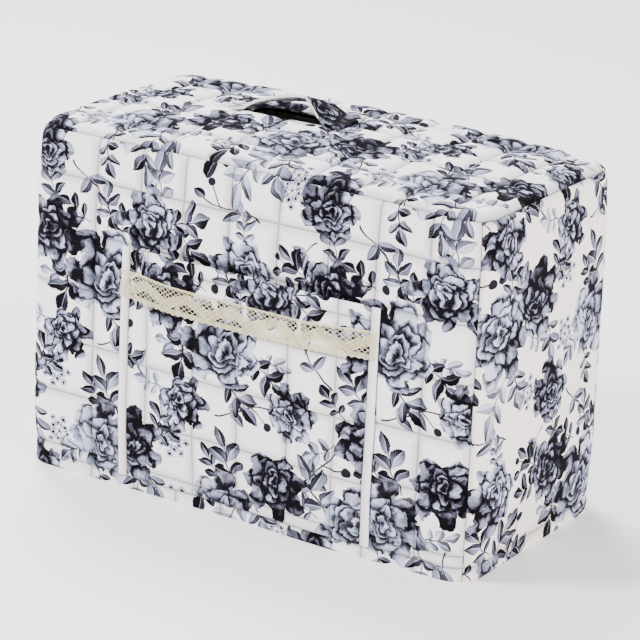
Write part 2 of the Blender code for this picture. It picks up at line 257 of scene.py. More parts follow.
LAYERS = ("sprigs", "leaves_under", "leaves_over", "roses_under", "roses_over")


def apart(first, second):
    way = np.array(first) - np.array(second)
    return float(np.linalg.norm(way - REPEAT * np.round(way / REPEAT)))


def lay_out_print():
    """Share the motifs out among layers in which none meets another.

    A motif is (x, y, radius, turn, seed). The whole part of a seed is the motif's number and, in
    a rose or a spray, the rest is its darkness.
    """
    draw = random.Random(11)
    layers = {name: [] for name in LAYERS}

    def add(names, motif):
        for name in names:
            if all(apart(motif[:2], other[:2]) > motif[2] + other[2] + MOTIF_ROOM
                   for other in layers[name]):
                layers[name].append(motif)
                return

    for number, (x, y, radius, turn, dark) in enumerate(ROSES):
        add(LAYERS[3:], (x, y, radius * ROSE_ROOM, math.radians(turn), number + 0.9 * dark))
    for x, y, radius, turn, _ in ROSES:
        for step in range(SPRAYS_TRIED):
            jitter = draw.uniform(-SPRAY_JITTER, SPRAY_JITTER)
            way = math.radians(turn + SPRAY_STEP * step + jitter)
            spray = LEAF_SPRAY * draw.uniform(0.95, 1.25)
            spray *= 1.0 if step < FULL_SPRAYS else LATER_SPRAY_SIZE
            reach = radius + (CLOSE_SPRAY if step < CLOSE_SPRAYS else FAR_SPRAY) * spray
            place = (x + reach * math.cos(way), y + reach * math.sin(way))
            if all(apart(place, rose[:2]) > ROSE_OVERLAP * rose[2] + SPRAY_OVERLAP * spray
                   for rose in ROSES):
                tilt = way + draw.uniform(-0.5, 0.5)
                add(LAYERS[1:3], (*place, spray, tilt, step + 0.95 * draw.random() ** 0.8))
    for first_seed, radius, room, tries in ((0, TWIG, 0.5, TWIGS_TRIED),
                                            (0, TWIG * 0.8, 0.5, TWIGS_TRIED),
                                            (FLORET_SEEDS, SPRIG, 0.35, SPRIGS_TRIED)):
        for _ in range(tries):
            place = (draw.uniform(0, REPEAT[0]), draw.uniform(0, REPEAT[1]))
            if all(apart(place, rose[:2]) > rose[2] + room * radius for rose in ROSES):
                add(LAYERS[:1], (*place, radius, draw.uniform(0, FULL_TURN),
                                 first_seed + draw.randrange(9) + 0.5))
    return {name: np.array(motifs) for name, motifs in layers.items()}


PRINT = lay_out_print()


def print_on(mesh, flat, stitch, plain=None):
    """Give each face corner its place on the cloth, its distances from the stitching, and its
    place within the nearest motif of each layer of the print."""
    corners = np.zeros(len(mesh.loops), dtype=np.int32)
    mesh.loops.foreach_get("vertex_index", corners)
    starts = np.zeros(len(mesh.polygons), dtype=np.int32)
    mesh.polygons.foreach_get("loop_start", starts)
    sizes = np.diff(np.append(starts, len(corners)))
    face_of = np.repeat(np.arange(len(sizes)), sizes)
    at = flat[corners]
    middles = np.stack([np.bincount(face_of, at[:, axis]) / sizes for axis in (0, 1)], axis=1)

    def store(name, values, third=0.0):
        layer = mesh.attributes.new(name, "FLOAT_VECTOR", "CORNER")
        data = np.zeros((len(corners), 3), dtype=np.float32)
        data[:, :2] = values
        data[:, 2] = third
        layer.data.foreach_set("vector", data.ravel())

    white = np.zeros(len(sizes)) if plain is None else np.array([plain(*m) for m in middles])
    store("cloth", at)
    store("stitching", stitch[corners], white[face_of])
    for name, motifs in PRINT.items():
        way = middles[:, None, :] - motifs[None, :, :2]
        shift = np.round(way / REPEAT) * REPEAT
        near = (np.linalg.norm(way - shift, axis=2) / motifs[None, :, 2]).argmin(axis=1)
        chosen = motifs[near][face_of]
        moved = at - chosen[:, :2] - shift[np.arange(len(near)), near][face_of]
        cosine, sine = np.cos(chosen[:, 3]), np.sin(chosen[:, 3])
        local = np.stack((moved[:, 0] * cosine + moved[:, 1] * sine,
                          moved[:, 1] * cosine - moved[:, 0] * sine), axis=1)
        store(name, local / chosen[:, 2:3], chosen[:, 4])


class Wire:
    """A value that changes over a surface, in a shader tree, with the usual sums."""

    def __init__(self, tree, socket):
        self.tree, self.socket = tree, socket

    def sum(self, operation, *others):
        node = self.tree.nodes.new("ShaderNodeMath")
        node.operation = operation
        connect(self.tree, node.inputs, (self, *others))
        return Wire(self.tree, node.outputs[0])

    def __add__(self, other):
        return self.sum("ADD", other)

    def __sub__(self, other):
        return self.sum("SUBTRACT", other)

    def __mul__(self, other):
        return self.sum("MULTIPLY", other)

    def __truediv__(self, other):
        return self.sum("DIVIDE", other)

    def __rsub__(self, other):
        return self.sum("MULTIPLY_ADD", -1.0, other)

    def rise(self, low, high):
        """0 up to low and 1 from high on, softly between them, or falling where high < low."""
        node = self.tree.nodes.new("ShaderNodeMapRange")
        node.interpolation_type = "SMOOTHSTEP"
        self.tree.links.new(self.socket, node.inputs["Value"])
        down = high < low
        node.inputs["From Min"].default_value = min(low, high)
        node.inputs["From Max"].default_value = max(low, high)
        node.inputs["To Min"].default_value = 1 if down else 0
        node.inputs["To Max"].default_value = 0 if down else 1
        return Wire(self.tree, node.outputs["Result"])


def connect(tree, sockets, values):
    """Give each socket its value: a wire is linked, and a plain number is set."""
    for socket, value in zip(sockets, values):
        if isinstance(value, Wire):
            tree.links.new(value.socket, socket)
        else:
            socket.default_value = value


def noise(tree, scale, x, y=0.0, z=0.0, detail=1.0):
    """Three soft noises between 0 and 1 at a place."""
    joined = tree.nodes.new("ShaderNodeCombineXYZ")
    connect(tree, joined.inputs, (x, y, z))
    node = tree.nodes.new("ShaderNodeTexNoise")
    node.inputs["Scale"].default_value = scale
    node.inputs["Detail"].default_value = detail
    tree.links.new(joined.outputs[0], node.inputs["Vector"])
    parts = tree.nodes.new("ShaderNodeSeparateColor")
    tree.links.new(node.outputs["Color"], parts.inputs[0])
    return [Wire(tree, output) for output in parts.outputs]


NUMBER = "NodeSocketFloat"
TONE_AND_INK = (("Tone", NUMBER), ("Ink", NUMBER))


def shader_group(name, inputs, outputs, draw):
    """A node group whose outputs are what draw(tree, *inputs) returns."""
    tree = bpy.data.node_groups.new(name, "ShaderNodeTree")
    for label in inputs:
        tree.interface.new_socket(label, in_out="INPUT", socket_type=NUMBER)
    for label, kind in outputs:
        tree.interface.new_socket(label, in_out="OUTPUT", socket_type=kind)
    start = tree.nodes.new("NodeGroupInput")
    end = tree.nodes.new("NodeGroupOutput")
    results = draw(tree, *[Wire(tree, start.outputs[label]) for label in inputs])
    for result, (label, _) in zip(results, outputs):
        tree.links.new(result.socket, end.inputs[label])
    return tree


def use(tree, group, *values):
    """Place a node group, give it its inputs in order, and return its outputs."""
    node = tree.nodes.new("ShaderNodeGroup")
    node.node_tree = group
    connect(tree, node.inputs, values)
    return [Wire(tree, output) for output in node.outputs]


def attribute(tree, name):
    """The three numbers that a piece's mesh carries under a name."""
    node = tree.nodes.new("ShaderNodeAttribute")
    node.attribute_name = name
    parts = tree.nodes.new("ShaderNodeSeparateXYZ")
    tree.links.new(node.outputs["Vector"], parts.inputs[0])
    return [Wire(tree, output) for output in parts.outputs]


def curve_of(tree, value, points):
    """A value passed through a drawn curve, given as points from 0 to 1."""
    node = tree.nodes.new("ShaderNodeFloatCurve")
    curve = node.mapping.curves[0]
    node.mapping.clip_min_y = -1
    while len(curve.points) < len(points):
        curve.points.new(0.5, 0.5)
    for point, place in zip(curve.points, points):
        point.location = place
    node.mapping.update()
    tree.links.new(value.socket, node.inputs["Value"])
    return Wire(tree, node.outputs[0])


def blend(tree, first, second, share):
    node = tree.nodes.new("ShaderNodeMix")
    connect(tree, (node.inputs[0], node.inputs[2], node.inputs[3]), (share, first, second))
    return Wire(tree, node.outputs[0])


def squares(x, y):
    return x * x + y * y


def warped(tree, x, y, scale, seed, amount, detail=1.0, size=1.0):
    """x and y shifted about by noise, for an outline drawn by hand, and a third noise."""
    shift = noise(tree, scale, x, y, seed, detail)
    x = shift[0].sum("MULTIPLY_ADD", amount, x * size - amount / 2)
    y = shift[1].sum("MULTIPLY_ADD", amount, y * size - amount / 2)
    return x, y, shift[2]


PETAL_TONES = ((0.0, 0.0), (0.35, 0.06), (0.50, 0.34), (0.70, 0.66), (0.90, 0.90), (1.0, 0.70))
NOTCH_REACH, LOBE_REACH = 0.72, 0.30
NOTCH_TONE, LOBE_TONE = -0.40, 0.52
SHADOW_REACH, SHADOW_TONE = 0.15, 0.08
PETAL_SHARPNESS = 60.0


def draw_petals(tree, radius, angle, ring, half_petals, phase, tone):
    """One ring of petals laid over the tone inside it, with a shadow round it."""
    lobe = angle.sum("MULTIPLY_ADD", half_petals, phase).sum("SINE").sum("ABSOLUTE")
    bound = lobe.sum("MULTIPLY_ADD", LOBE_REACH, NOTCH_REACH) * ring
    depth = bound - radius
    petal = curve_of(tree, radius / bound, PETAL_TONES)
    petal = petal + lobe.sum("MULTIPLY_ADD", LOBE_TONE, NOTCH_TONE)
    lit = depth.rise(0.02, -SHADOW_REACH).sum("MULTIPLY_ADD", 1 - SHADOW_TONE, SHADOW_TONE)
    inside = depth.sum("MULTIPLY_ADD", PETAL_SHARPNESS, 0.5)
    return blend(tree, tone * lit, petal, inside), inside


PETALS = shader_group("petal ring", ("Radius", "Angle", "Ring", "Half petals", "Phase", "Tone"),
                      TONE_AND_INK, draw_petals)

ROSE_RINGS = ((0.88, 7), (0.72, 5), (0.52, 5), (0.34, 4), (0.18, 3))
RING_TURN, ROSE_TURN = 1.3, 1.94
ROSE_WARP = 0.60
TEARS, PATCHES = 2.3, 2.7
ROSE_TILT = 0.20
PETAL_VEINS = 8
VEIN_TONE, PATCH_TONE, TONE_DROP = 1.25, 1.6, 1.38
SHADED_SIDE, SHADE_DEPTH = (0.55, -0.62), 0.42
DARK_ROSE = 0.92


def draw_rose(tree, x, y, seed):
    """Five rings of torn, curled petals, with one side of the flower in deep shade."""
    number, dark = seed.sum("FLOOR"), seed.sum("FRACT")
    side = x * SHADED_SIDE[0] + y * SHADED_SIDE[1]
    x, y, torn = warped(tree, x, y, TEARS, number * 3.7, ROSE_WARP, detail=3.0)
    y = y - (1 - squares(x, y)) * ROSE_TILT
    radius = squares(x, y).sum("SQRT")
    angle = y.sum("ARCTAN2", x)
    tone = radius * 2.0
    for step, (ring, petals) in enumerate(ROSE_RINGS):
        phase = number.sum("MULTIPLY_ADD", ROSE_TURN, RING_TURN * step)
        tone, inside = use(tree, PETALS, radius, angle, ring, petals / 2, phase, tone)
        if step == 0:
            ink = inside
    spread_out = radius + 0.05
    veins = noise(tree, 1.0, x / spread_out * PETAL_VEINS, y / spread_out * PETAL_VEINS,
                  radius.sum("MULTIPLY_ADD", 2.2, number), 2.0)[0]
    patches = noise(tree, PATCHES, x, y, number * 1.9 + 5, 2.0)
    tone = veins.sum("MULTIPLY_ADD", VEIN_TONE, tone) + patches[0] * PATCH_TONE - TONE_DROP
    shaded = torn.sum("MULTIPLY_ADD", 1.1, side - 0.55).rise(0.0, 0.42)
    tone = tone - shaded * SHADE_DEPTH - dark * (DARK_ROSE - patches[1] * 0.9)
    return tone, ink.sum("MINIMUM", 1.0)


LEAF_OUTLINE = ((0.0, 0.0), (0.08, 0.34), (0.25, 0.78), (0.45, 1.0), (0.68, 0.86), (0.88, 0.44),
                (1.0, 0.0))
LEAF_EDGE = ((0.0, 0.60), (0.06, 0.56), (0.15, 0.14), (0.55, 0.16), (0.82, 0.02), (1.0, -0.30))
LEAF_BEND = -0.12
LEAF_TEETH, TOOTH_DEPTH = 40, 0.025
LEAF_SHARPNESS = 33.0
DARK_HALF, LIGHT_STEP = 0.12, 0.42
RIBS_ALONG, RIBS_OUT, RIB_TONE = 7.5, 11, 0.40
TIP_SHADE = 0.40


def draw_leaf(tree, x, y, width):
    """A leaf along x from 0 to 1: one half light, the other dark, and a pale rib."""
    along = x.sum("MAXIMUM", 0.0)
    bent = along * along * LEAF_BEND + y
    half = curve_of(tree, along, LEAF_OUTLINE) * width
    half = half * (along * LEAF_TEETH).sum("SINE").sum("MULTIPLY_ADD", TOOTH_DEPTH, 1.0)
    off = bent.sum("ABSOLUTE")
    ink = ((half - off) * LEAF_SHARPNESS).sum("MINIMUM", 1.0).sum("MAXIMUM", 0.0)
    tone = bent.rise(-0.02, 0.02).sum("MULTIPLY_ADD", LIGHT_STEP, DARK_HALF)
    tone = tone + curve_of(tree, off / half, LEAF_EDGE)
    ribs = (along * RIBS_ALONG - off * RIBS_OUT).sum("PINGPONG", 0.5)
    return ribs.sum("MULTIPLY_ADD", RIB_TONE, tone) - along * along * TIP_SHADE, ink


LEAF = shader_group("leaf", ("X", "Y", "Width"), TONE_AND_INK, draw_leaf)


def turned(x, y, degrees, size):
    """x and y as seen by a motif of a size that is turned by degrees."""
    cosine, sine = math.cos(math.radians(degrees)) / size, math.sin(math.radians(degrees)) / size
    return x * cosine + y * sine, y * cosine - x * sine


def draw_stem(x, off, width, start, end):
    """A stem along x, each of its width, its start and its end faded between two values."""
    return off.sum("ABSOLUTE").rise(*width) * x.rise(*start) * x.rise(*end)


SPRAY_WARP, SPRAY_SIZE, SPRAY_CURLS = 0.46, 1.12, 1.5
STALK_TONE = 0.10
DARK_SPRAY = 0.72


def draw_spray(tree, x, y, seed):
    """Two pairs of leaves and an end leaf on a curved stalk."""
    number, dark = seed.sum("FLOOR"), seed.sum("FRACT")
    x, y, patches = warped(tree, x, y, SPRAY_CURLS, number * 5.3 + dark * 9, SPRAY_WARP,
                           size=SPRAY_SIZE)
    stalk = draw_stem(x, y, (0.036, 0.016), (-0.98, -0.93), (0.3, 0.2))
    aside = y.sum("ABSOLUTE")
    tone, ink = use(tree, LEAF, *turned(x + 0.56, aside, 56, 0.64), 0.27)
    for leaf_x, leaf_y, width in ((*turned(x + 0.14, aside, 46, 0.76), 0.27),
                                  (*turned(x - 0.16, y, 0, 0.80), 0.30)):
        above, cover = use(tree, LEAF, leaf_x, leaf_y, width)
        tone = blend(tree, tone, above, cover)
        ink = ink.sum("MAXIMUM", cover)
    tone = blend(tree, STALK_TONE, tone, ink) - dark * DARK_SPRAY
    return tone + patches.sum("MULTIPLY_ADD", 1.1, -0.26), ink.sum("MAXIMUM", stalk)


TWIG_TONE, BUD_SHADE = 0.08, 0.30


def draw_twig(tree, x, y):
    """A thin curved stem that forks, with a bud, two small leaves and a berry."""
    stem = draw_stem(x, y - (x * 1.9 + 0.4).sum("SINE") * 0.24, (0.034, 0.014), (-0.96, -0.90),
                     (0.70, 0.66))
    fork = draw_stem(x, y + x * 0.75 - 0.18, (0.036, 0.014), (0.0, 0.04), (0.56, 0.50))
    bud_tone, bud = use(tree, LEAF, *turned(x - 0.60, y - 0.20, -12, 0.36), 0.40)
    aside = (y + 0.02).sum("ABSOLUTE")
    leaf_tone, leaves = use(tree, LEAF, *turned(x + 0.42, aside, 48, 0.50), 0.28)
    berry = squares(*turned(x - 0.58, y + 0.26, 0, 0.12)).rise(1.0, 0.8)
    tone = blend(tree, blend(tree, TWIG_TONE, bud_tone - BUD_SHADE, bud), leaf_tone, leaves)
    ink = stem
    for part in (fork, bud, leaves, berry):
        ink = ink.sum("MAXIMUM", part)
    return tone, ink


FLORETS = 7
OUTER_FLORETS, INNER_FLORETS = 0.74, 0.42
FLORET_STALK_TONE = 0.15


def draw_florets(tree, x, y):
    """A head of small florets: some on long stalks, and as many on short ones between them."""
    radius = squares(x, y).sum("SQRT")
    part = (y.sum("ARCTAN2", x) * (FLORETS / (2 * math.pi))).sum("PINGPONG", 0.5)
    off = part * radius * 0.90
    outer = squares(radius - OUTER_FLORETS, off).sum("SQRT")
    inner = squares(radius - INNER_FLORETS, off - radius * 0.45).sum("SQRT")
    middle = outer.sum("MINIMUM", inner)
    stalks = off.rise(0.03, 0.01) * radius.rise(0.75, 0.70)
    floret = middle.rise(0.18, 0.15)
    tone = middle.rise(0.02, 0.12) - middle.rise(0.11, 0.18) * 0.6
    return blend(tree, FLORET_STALK_TONE, tone, floret), stalks.sum("MAXIMUM", floret)


SPRIG_WARP, SPRIG_CURLS = 0.34, 1.4


def draw_sprig(tree, x, y, seed):
    """A twig, or from seed FLORET_SEEDS on a head of florets."""
    x, y, _ = warped(tree, x, y, SPRIG_CURLS, seed * 3.1, SPRIG_WARP)
    kind = seed.sum("GREATER_THAN", FLORET_SEEDS - 1.0)
    return [blend(tree, twig, florets, kind)
            for twig, florets in zip(draw_twig(tree, x, y), draw_florets(tree, x, y))]


XYS = ("X", "Y", "Seed")
MOTIF_EDGE = 0.94
ROSE = shader_group("rose", XYS, TONE_AND_INK, draw_rose)
SPRAY = shader_group("leaf spray", XYS, TONE_AND_INK, draw_spray)
SPRIGS = shader_group("sprig", XYS, TONE_AND_INK, draw_sprig)


def draw_layer(tree, group, name):
    """One layer's motifs, each kept inside its own circle."""
    x, y, seed = attribute(tree, name)
    tone, ink = use(tree, group, x, y, seed)
    return tone, ink * squares(x, y).rise(1.0, MOTIF_EDGE)


def draw_print(tree):
    """The whole print, from the bottom layer up: its tone, and where there is ink."""
    tone, ink = draw_layer(tree, SPRIGS, LAYERS[0])
    for name, group in zip(LAYERS[1:], (SPRAY, SPRAY, ROSE, ROSE)):
        above, cover = draw_layer(tree, group, name)
        tone = blend(tree, tone, above, cover)
        ink = ink.sum("MAXIMUM", cover)
    plain = attribute(tree, "stitching")[2]
    return tone, ink * plain.rise(0.6, 0.4)


ROSE_PRINT = shader_group("rose print", (), TONE_AND_INK, draw_print)

# How close the marks of the cloth lie, in steps of noise to a metre.
SLUBS, CREASES = (900, 60), (30, 240)
PUCKERS, SOFT_WAVES = 150, 38
# How far to each side of a stitched line its marks reach, and how strong they are. VALLEYS and
# VALLEY_SHADE are painted shade: a wide soft band and a narrow core darkened along each stitched
# line.
VALLEYS, VALLEY_SHADE = ((0.0085, 0.0), (0.0013, 0.0003)), 0.30
CREASE_REACH, PUCKER_REACH = 0.013, 0.011
CREASE_SHARE, CREASE_HEIGHT, STITCH_HEIGHT, SOFT_HEIGHT = 0.7, 2.2, 0.30, 0.8
THREAD_HEIGHT, SLUB_HEIGHT, SLUB_SHADE = 0.04, 0.08, 0.10
STITCH_LENGTH = 0.0034
STITCH_SIDES, STITCH_ENDS = (0.0005, 0.0002), (0.42, 0.36)


def draw_stitches(off, along):
    """A line of short stitches, end to end."""
    from_middle = ((along / STITCH_LENGTH).sum("FRACT") - 0.5).sum("ABSOLUTE")
    return off.rise(*STITCH_SIDES) * from_middle.rise(*STITCH_ENDS)


def draw_weave(tree, fineness):
    """Warp and weft, slubs, quilting puckers and stitches, and painted shade along the stitched
    lines.
    """
    x, y, _ = attribute(tree, "cloth")
    across, up, plain = attribute(tree, "stitching")
    up = up + plain
    beside = across.sum("MINIMUM", up)
    threads = (x * fineness).sum("SINE") * (y * fineness).sum("SINE")
    slubs = noise(tree, 1.0, x * SLUBS[0], y * SLUBS[1])[0]
    shade = slubs.sum("MULTIPLY_ADD", SLUB_SHADE, -SLUB_SHADE / 2)
    # Painted shade: the colour darkens in the valleys along the stitched lines.
    for reach, core in VALLEYS:
        shade = shade - beside.rise(reach, core) * VALLEY_SHADE
    puckers = noise(tree, 1.0, x * PUCKERS, y * PUCKERS, 3.0, 2.0)[0] - 0.5
    by_column = noise(tree, 1.0, x * CREASES[0], y * CREASES[1], 1.0)[0]
    by_row = noise(tree, 1.0, x * CREASES[1], y * CREASES[0], 5.0)[0]
    creases = puckers * beside.rise(PUCKER_REACH, 0.0)
    creases = creases + by_column * across.rise(CREASE_REACH, 0.0) * CREASE_SHARE
    creases = creases + by_row * up.rise(CREASE_REACH, 0.0) * CREASE_SHARE
    stitches = draw_stitches(across, y).sum("MAXIMUM", draw_stitches(up, x))
    soft = noise(tree, 1.0, x * SOFT_WAVES, y * SOFT_WAVES, 8.0)[0]
    height = threads * THREAD_HEIGHT + slubs * SLUB_HEIGHT + creases * CREASE_HEIGHT
    return shade, height + stitches * STITCH_HEIGHT + soft * SOFT_HEIGHT


WEAVE = shader_group("cotton weave", ("Fineness",), (("Shade", NUMBER), ("Height", NUMBER)),
                     draw_weave)

WHITE_CLOTH, OFF_WHITE = (0.885, 0.845, 0.885, 1), (0.80, 0.79, 0.77, 1)
WEAVE_FINENESS = 4200.0
COLOUR_SHARE, FIRST_COLOUR, SECOND_COLOUR, MIXED_COLOUR = 0, 6, 7, 2
PRINT_TONES = ((0.0, (0.003, 0.002, 0.004)), (0.22, (0.027, 0.026, 0.038)),
               (0.42, (0.088, 0.090, 0.130)), (0.62, (0.190, 0.206, 0.290)),
               (0.82, (0.318, 0.350, 0.480)), (1.0, (0.530, 0.568, 0.710)))


def cloth_material(name, ground=WHITE_CLOTH, printed=True, relief=0.0007):
    """Matt cotton cloth with the rose print on it, or plain, with painted shade along its stitched
    lines.
    """
    made = bpy.data.materials.new(name)
    made.use_nodes = True
    tree = made.node_tree
    shader = tree.nodes["Principled BSDF"]
    shader.inputs["Roughness"].default_value = 0.88
    shader.inputs["Specular IOR Level"].default_value = 0.04
    shader.inputs["Sheen Weight"].default_value = 0.015
    shader.inputs["Sheen Roughness"].default_value = 0.5
    shade, height = use(tree, WEAVE, WEAVE_FINENESS)
    colour = tree.nodes.new("ShaderNodeMix")
    colour.data_type = "RGBA"
    colour.inputs[FIRST_COLOUR].default_value = ground
    if printed:
        tone, ink = use(tree, ROSE_PRINT)
        ramp = tree.nodes.new("ShaderNodeValToRGB")
        steps = ramp.color_ramp.elements
        while len(steps) < len(PRINT_TONES):
            steps.new(0.5)
        for step, (position, value) in zip(steps, PRINT_TONES):
            step.position = position
            step.color = (*value, 1)
        tree.links.new(tone.socket, ramp.inputs[0])
        tree.links.new(ramp.outputs[0], colour.inputs[SECOND_COLOUR])
        tree.links.new(ink.socket, colour.inputs[COLOUR_SHARE])
    else:
        colour.inputs[COLOUR_SHARE].default_value = 0
    # Painted shade: the colour is multiplied by the weave's Shade, which is the slub tone together
    # with the painted shade in the quilting valleys.
    slub_and_painted_shade = tree.nodes.new("ShaderNodeMix")
    slub_and_painted_shade.data_type = "RGBA"
    slub_and_painted_shade.blend_type = "MULTIPLY"
    slub_and_painted_shade.inputs[COLOUR_SHARE].default_value = 1
    tint = tree.nodes.new("ShaderNodeCombineColor")
    for socket in tint.inputs:
        tree.links.new((shade + 1).socket, socket)
    tree.links.new(colour.outputs[MIXED_COLOUR], slub_and_painted_shade.inputs[FIRST_COLOUR])
    tree.links.new(tint.outputs[0], slub_and_painted_shade.inputs[SECOND_COLOUR])
    tree.links.new(slub_and_painted_shade.outputs[MIXED_COLOUR], shader.inputs["Base Color"])
    bump = tree.nodes.new("ShaderNodeBump")
    bump.inputs["Strength"].default_value = 1
    bump.inputs["Distance"].default_value = relief
    tree.links.new(height.socket, bump.inputs["Height"])
    tree.links.new(bump.outputs[0], shader.inputs["Normal"])
    return made


QUILTED_PRINT = cloth_material("quilted print")
BACKING = cloth_material("plain backing", OFF_WHITE, printed=False)


def dress(piece, *materials):
    for material in materials:
        piece.data.materials.append(material)


HEM_END_RUN = 0.004


def hem_lift(side, s, t):
    """The turned hem is a little thicker, but not within the corner seams."""
    end = clamp((side.flat + CORNER_ARC * HALF_TURN - abs(s)) / HEM_END_RUN)
    return HEM_LIFT * end * clamp((HEM_DEPTH - t) / HEM_ROLL)


POCKET_LEFT, POCKET_RIGHT, POCKET_MOUTH = -0.121, 0.134, 0.218
POCKET_EDGE_REACH = 0.0012
TOP_STITCHES_PAST = 0.002


def behind_pocket(s, t):
    beyond = max(POCKET_LEFT - s, s - POCKET_RIGHT)
    return beyond < POCKET_EDGE_REACH and t < POCKET_MOUTH


def quilted_wall(name, side, stitched_columns, cut_at, pocketed=False):
    """A quilted side, cut from the printed cloth with its middle foot at the place cut_at."""
    across = (-side.reach, *stitched_columns, side.reach)
    up = (0.0, HEM_DEPTH, *WALL_ROWS, WALL_STRAIGHT, WALL_REACH)
    stitched = (across, (HEM_DEPTH, *WALL_ROWS, WALL_REACH + TOP_STITCHES_PAST))

    def place(s, t):
        lift = QUILT_LIFT * pillow(nearest(s, stitched[0])) * pillow(nearest(t, stitched[1]))
        if t < HEM_DEPTH or (pocketed and behind_pocket(s, t)):
            lift = 0.0
        return wall_point(side, s, t, lift + hem_lift(side, s, t))

    return grid_piece(name, spread(across), spread(up), place,
                      lambda s, t: (s + cut_at[0], t + cut_at[1]), stitched, QUILTED_THICKNESS)


front_panel = quilted_wall("front_cloth", FRONT, FRONT_COLUMNS, cut_at=(0.05, 0.02), pocketed=True)
dress(front_panel, QUILTED_PRINT, BACKING)
soft_edges(front_panel)
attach(front_panel, "root")
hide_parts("front_panel")
2 * FRONT.reach
WALL_REACH + HEM_DEPTH


# Back panel: the same quilted cloth, cut like the front, with nothing sewn on it. Its sides are
# sewn to the two end panels and its upper edge to the top.
BACK = Side(LENGTH / 2, DEPTH / 2, (-1, 0, 0), bulge=0.0018)
BACK_COLUMNS = (-0.168, -0.121, -0.072, -0.025, 0.0235, 0.071, 0.118, 0.166)

back_panel = quilted_wall("back_cloth", BACK, BACK_COLUMNS, cut_at=(0.31, 0.11))
dress(back_panel, QUILTED_PRINT, BACKING)
soft_edges(back_panel)
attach(back_panel, "root")
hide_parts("back_panel")
2 * BACK.reach
WALL_REACH + HEM_DEPTH


# End panels: one layer each of the same printed cotton, not quilted. They are set in between
# the front and the back with seams in the middle of the rounded corners.
RIGHT = Side(DEPTH / 2, LENGTH / 2, (0, 1, 0), bulge=0.0040)
LEFT = Side(DEPTH / 2, LENGTH / 2, (0, -1, 0), bulge=0.0030)
PLAIN_THICKNESS = 0.0020
PLAIN_STITCHES_PAST = 0.003
# Painted shade: this white is warmer and darker than the quilted white. Part of that comes from
# the cloth being one thin layer, and part is painted warm shade on the end panels. The strap uses
# the same white.
SINGLE_LAYER_SHADED_WHITE = (0.88, 0.82, 0.80, 1)
PLAIN_PRINT = cloth_material("plain print", SINGLE_LAYER_SHADED_WHITE, relief=0.0004)


def plain_end(name, side, cut_at):
    beyond = side.reach + PLAIN_STITCHES_PAST
    stitched = ((-beyond, beyond), (HEM_DEPTH, WALL_REACH + PLAIN_STITCHES_PAST))
    columns = spread((-side.reach, 0.0, side.reach))
    rows = spread((0.0, HEM_DEPTH, WALL_STRAIGHT, WALL_REACH))

    def place(s, t):
        return wall_point(side, s, t, hem_lift(side, s, t))

    return grid_piece(name, columns, rows, place, lambda s, t: (s + cut_at[0], t + cut_at[1]),
                      stitched, PLAIN_THICKNESS)


for name, node, side, cut_at in (("right_end_cloth", "right_end", RIGHT, (0.13, 0.17)),
                                 ("left_end_cloth", "left_end", LEFT, (0.40, 0.06))):
    end = plain_end(name, side, cut_at)
    dress(end, PLAIN_PRINT, BACKING)
    soft_edges(end)
    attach(end, "root")
    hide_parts(node)
    2 * side.reach
    WALL_REACH + HEM_DEPTH


# Top panel: a quilted panel with rounded corners, sewn in all round. A slot with round corners
# is cut through it under the strap, for a machine's handle or a hand.
TOP_CORNER_EASE = 0.0016
TOP_COLUMNS = (-0.187, -0.141, -0.093, -0.045, 0.003, 0.055, 0.100, 0.142, 0.183)
TOP_ROWS = (-0.064, -0.016, 0.031, 0.079)
SLOT_CENTRE = (-0.053, 0.026)
SLOT_SIZE = (0.070, 0.032)
SLOT_CORNER = 0.010
SLOT_CUT_HEIGHT = 0.04
TOP_CUT_AT = (0.05, 0.42)
STRAP_FRONT = 0.012
STRAP_WIDTH = 0.040
STRAP_LEFT, STRAP_RIGHT = -0.112, 0.008
STRAP_CLEARANCE = 0.004
SEAM_INSET = half_corner(TOP_RUN, TOP_ARC)[1]
EDGE_IN = TOP_EDGE_RADIUS - SEAM_INSET - SEAM_GAP / 2
TOP_HALF_X = LENGTH / 2 - WALL_TAPER - SEAM_INSET - COS_HALF_TURN * SEAM_GAP
TOP_HALF_Y = DEPTH / 2 - WALL_TAPER - SEAM_INSET - COS_HALF_TURN * SEAM_GAP
TOP_CORNER = CORNER_RADIUS + TOP_CORNER_EASE - SEAM_INSET


def top_plan(x, y):
    """Move a point of a square-cornered plan to one whose corners are round."""
    u = abs(x) - (TOP_HALF_X - TOP_CORNER)
    v = abs(y) - (TOP_HALF_Y - TOP_CORNER)
    if u <= 0 or v <= 0:
        return x, y
    ring = max(u, v)
    angle = HALF_TURN * v / u if u >= v else 2 * HALF_TURN - HALF_TURN * u / v
    rounded_x = TOP_HALF_X - TOP_CORNER + ring * math.cos(angle)
    rounded_y = TOP_HALF_Y - TOP_CORNER + ring * math.sin(angle)
    return math.copysign(rounded_x, x), math.copysign(rounded_y, y)


def top_drop(inset):
    """How far the top has rolled down at a distance in from its seam."""
    outside = max(EDGE_IN - inset, 0.0)
    arc_reach = TOP_ARC * COS_HALF_TURN
    if outside > arc_reach:
        return TOP_ARC * (1 - COS_HALF_TURN) + outside - arc_reach
    return TOP_ARC - math.sqrt(TOP_ARC ** 2 - outside ** 2)


def top_point(x, y, lift=0.0):
    inset = min(TOP_HALF_X - abs(x), TOP_HALF_Y - abs(y))
    plan_x, plan_y = top_plan(x, y)
    z = HEIGHT - top_drop(inset) + top_rise(plan_x, plan_y) + lift
    return Vector((plan_x, plan_y, z))


def under_strap(x, y):
    """1 where the strap lies on the top or spans it, fading out beside it."""
    beside = max(STRAP_LEFT - x, x - STRAP_RIGHT, STRAP_FRONT - y, y - STRAP_FRONT - STRAP_WIDTH)
    return clamp(1 - beside / STRAP_CLEARANCE)


